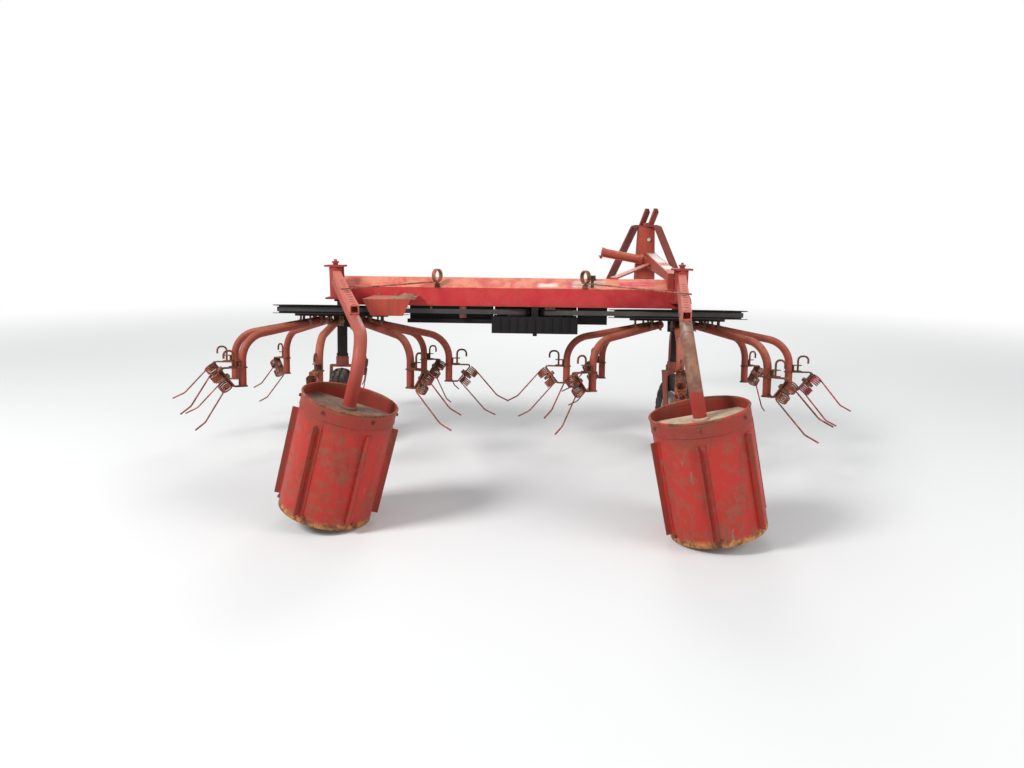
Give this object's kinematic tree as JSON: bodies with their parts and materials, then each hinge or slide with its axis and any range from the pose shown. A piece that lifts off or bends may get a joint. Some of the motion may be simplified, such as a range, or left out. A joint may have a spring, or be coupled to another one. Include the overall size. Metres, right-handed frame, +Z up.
{
  "type": "two-rotor hay tedder with swath drums",
  "caption": "Mounted hay tedder: a cross beam carries belt-driven tine rotors over castor wheels, swath drums hang on swinging arms behind, and an offset headstock stands in front.",
  "frame": {"origin": "midway between the two lower link pins", "axes": "+X to the machine's right, +Y forward towards the tractor, +Z up; the ground is 0.610 m below the origin"},
  "size_m": [4.0055, 3.0558, 1.4454],
  "materials": {
    "frame_paint": "faded red paint, rusty",
    "arm_paint": "faded red paint over rust",
    "rusty_steel": "rust brown",
    "black_paint": "black, dusty",
    "dark_steel": "dark grey, greasy",
    "belt_rubber": "worn rubber",
    "drum_paint": "scratched red paint",
    "cross_plate": "worn, dusty",
    "rim_paint": "dusty grey",
    "tyre": "dusty"
  },
  "bodies": {
    "frame": {"beam": "frame_paint", "pivot_bracket_left": "frame_paint", "pivot_bracket_right": "frame_paint", "boom": "frame_paint", "post": "frame_paint", "gearbox": "black_paint", "guard_plate": "frame_paint", "column_left": "dark_steel", "column_right": "dark_steel", "belt_left": "belt_rubber", "belt_right": "belt_rubber", "cross_tube": "frame_paint", "brace": "frame_paint"},
    "spring_left": {"arm_spring_left": "rusty_steel"},
    "spring_right": {"arm_spring_right": "rusty_steel"},
    "drive_pulley_left": {"drive_pulley_left": "dark_steel"},
    "drive_pulley_right": {"drive_pulley_right": "dark_steel"},
    "headstock": {"head_strap": "frame_paint", "headstock_leg_left": "frame_paint", "headstock_leg_right": "frame_paint", "top_link_ears": "frame_paint"},
    "rotor_left": {"belt_rim_left": "dark_steel", "hub_left": "dark_steel", "tine_arms_left": "arm_paint", "tine_holders_left": "rusty_steel", "lock_pins_left": "rusty_steel", "tines_left": "rusty_steel"},
    "castor_left": {"castor_fork_left": "frame_paint"},
    "wheel_left": {"wheel_left": "rim_paint", "tyre_left": "tyre"},
    "drum_arm_left": {"drum_arm_left": "frame_paint", "notched_tube_left": "rusty_steel"},
    "drum_left": {"drum_left": "drum_paint", "drum_cross_left": "cross_plate"},
    "rotor_right": {"belt_rim_right": "dark_steel", "hub_right": "dark_steel", "tine_arms_right": "arm_paint", "tine_holders_right": "rusty_steel", "lock_pins_right": "rusty_steel", "tines_right": "rusty_steel"},
    "castor_right": {"castor_fork_right": "frame_paint"},
    "wheel_right": {"wheel_right": "rim_paint", "tyre_right": "tyre"},
    "drum_arm_right": {"drum_arm_right": "frame_paint", "notched_tube_right": "rusty_steel"},
    "drum_right": {"drum_right": "drum_paint", "drum_cross_right": "cross_plate"}
  },
  "joints": [
    {"name": "rotor_left_spin", "type": "hinge", "parent": "frame", "child": "rotor_left", "pos_m": [-1.935, -1.13408, 0.18321], "axis": [0, 0.1045, 0.9945], "continuous": true},
    {"name": "rotor_right_spin", "type": "hinge", "parent": "frame", "child": "rotor_right", "pos_m": [0.065, -1.13408, 0.18321], "axis": [0, 0.1045, 0.9945], "continuous": true},
    {"name": "drive_pulley_left_spin", "type": "hinge", "parent": "frame", "child": "drive_pulley_left", "pos_m": [-0.905, -1.13408, 0.18321], "axis": [0, 0.1045, 0.9945], "continuous": true},
    {"name": "drive_pulley_right_spin", "type": "hinge", "parent": "frame", "child": "drive_pulley_right", "pos_m": [-0.635, -1.13408, 0.18321], "axis": [0, 0.1045, 0.9945], "continuous": true},
    {"name": "castor_left_swivel", "type": "hinge", "parent": "frame", "child": "castor_left", "pos_m": [-1.935, -1.15895, -0.05348], "axis": [0, 0.1045, 0.9945], "continuous": true},
    {"name": "wheel_left_spin", "type": "hinge", "parent": "castor_left", "child": "wheel_left", "pos_m": [-1.93186, -1.23867, -0.38251], "axis": [0.9976, 0.0694, -0.0073], "continuous": true},
    {"name": "castor_right_swivel", "type": "hinge", "parent": "frame", "child": "castor_right", "pos_m": [0.065, -1.15895, -0.05348], "axis": [0, 0.1045, 0.9945], "continuous": true},
    {"name": "wheel_right_spin", "type": "hinge", "parent": "castor_right", "child": "wheel_right", "pos_m": [0.07816, -1.23683, -0.38271], "axis": [0.9563, 0.2908, -0.0306], "continuous": true},
    {"name": "drum_arm_left_swing", "type": "hinge", "parent": "frame", "child": "drum_arm_left", "pos_m": [-1.935, -1.241, 0.358], "axis": [0, 0, 1], "range_deg": [-24, 10]},
    {"name": "drum_left_spin", "type": "hinge", "parent": "drum_arm_left", "child": "drum_left", "pos_m": [-1.51937, -2.52017, -0.05555], "axis": [0.2602, -0.0221, 0.9653], "continuous": true},
    {"name": "drum_arm_right_swing", "type": "hinge", "parent": "frame", "child": "drum_arm_right", "pos_m": [0.065, -1.241, 0.358], "axis": [0, 0, 1], "range_deg": [-22.5, 11.5]},
    {"name": "drum_right_spin", "type": "hinge", "parent": "drum_arm_right", "child": "drum_right", "pos_m": [-0.06391, -2.57981, -0.05951], "axis": [-0.2086, 0.0029, 0.978], "continuous": true},
    {"name": "spring_left_turn", "type": "hinge", "parent": "frame", "child": "spring_left", "pos_m": [-1.347, -1.188, 0.37], "axis": [0, 0, 1], "range_deg": [-14.4, 6]},
    {"name": "spring_right_turn", "type": "hinge", "parent": "frame", "child": "spring_right", "pos_m": [-0.48, -1.188, 0.37], "axis": [0, 0, 1], "range_deg": [-13.5, 6.9]},
    {"name": "headstock_swing", "type": "hinge", "parent": "frame", "child": "headstock", "pos_m": [0, 0, 0.39], "axis": [0, 0, 1], "range_deg": [-16, 39]}
  ],
  "couplings": [
    {"joint": "rotor_right_spin", "follows": "rotor_left_spin", "ratio": -1},
    {"joint": "drive_pulley_left_spin", "follows": "rotor_left_spin", "ratio": 4.0326},
    {"joint": "drive_pulley_right_spin", "follows": "rotor_left_spin", "ratio": -4.0326},
    {"joint": "spring_left_turn", "follows": "drum_arm_left_swing", "ratio": 0.6},
    {"joint": "spring_right_turn", "follows": "drum_arm_right_swing", "ratio": 0.6}
  ]
}
